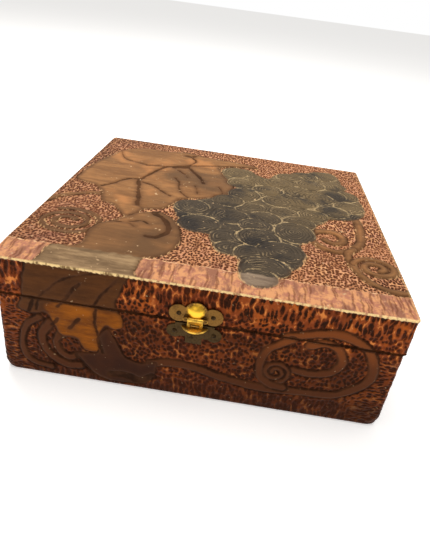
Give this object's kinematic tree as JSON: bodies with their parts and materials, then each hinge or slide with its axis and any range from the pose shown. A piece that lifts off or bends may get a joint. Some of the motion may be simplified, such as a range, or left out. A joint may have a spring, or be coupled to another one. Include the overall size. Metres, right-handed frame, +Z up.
{
  "type": "jewelry box",
  "caption": "Shallow, nearly square wooden box with burnt leaf and grape decoration, a hinged lid, a brass hasp catch on the front and a padded lining.",
  "frame": {"origin": "centre of the underside of the base", "axes": "+Z up, +X to the right seen from the front, +Y from the front to the back; the catch is on the -Y face"},
  "size_m": [0.25, 0.2673, 0.087],
  "materials": {
    "burnt_wood": "burnt and stained, worn satin varnish",
    "plain_wood": "bare, aged",
    "velvet": "short pile velvet",
    "catch_brass": "rubbed, stained in the hollows",
    "keeper_brass": "dull, tarnished",
    "hinge_brass": "tarnished",
    "nail_metal": "dark, tarnished"
  },
  "bodies": {
    "base": {"base_bottom_board": "plain_wood", "base_front_wall": "burnt_wood", "base_back_wall": "burnt_wood", "base_left_wall": "burnt_wood", "base_right_wall": "burnt_wood", "bottom_nails": "nail_metal", "floor_cushion": "velvet", "front_lining": "velvet", "back_lining": "velvet", "left_lining": "velvet", "right_lining": "velvet", "left_hinge_base_leaf": "hinge_brass", "left_hinge_pin": "hinge_brass", "right_hinge_base_leaf": "hinge_brass", "right_hinge_pin": "hinge_brass", "hinge_base_nails": "nail_metal", "catch_keeper": "keeper_brass", "keeper_nails": "nail_metal"},
    "lid": {"lid_top_board": "burnt_wood", "lid_front_rail": "burnt_wood", "lid_back_rail": "burnt_wood", "lid_left_rail": "burnt_wood", "lid_right_rail": "burnt_wood", "lid_cushion": "velvet", "left_hinge_lid_leaf": "hinge_brass", "right_hinge_lid_leaf": "hinge_brass", "hinge_lid_nails": "nail_metal", "catch_plate": "catch_brass", "catch_plate_nails": "nail_metal", "catch_hasp_pin": "catch_brass"},
    "hasp": {"catch_hasp": "catch_brass"}
  },
  "joints": [
    {"name": "lid_hinge", "type": "hinge", "parent": "base", "child": "lid", "pos_m": [0, 0.1303, 0.0602], "axis": [-1, 0, 0], "range_deg": [0, 180]},
    {"name": "hasp_hinge", "type": "hinge", "parent": "lid", "child": "hasp", "pos_m": [-0.0015, -0.1306, 0.0642], "axis": [-1, 0, 0], "range_deg": [0, 125]}
  ]
}
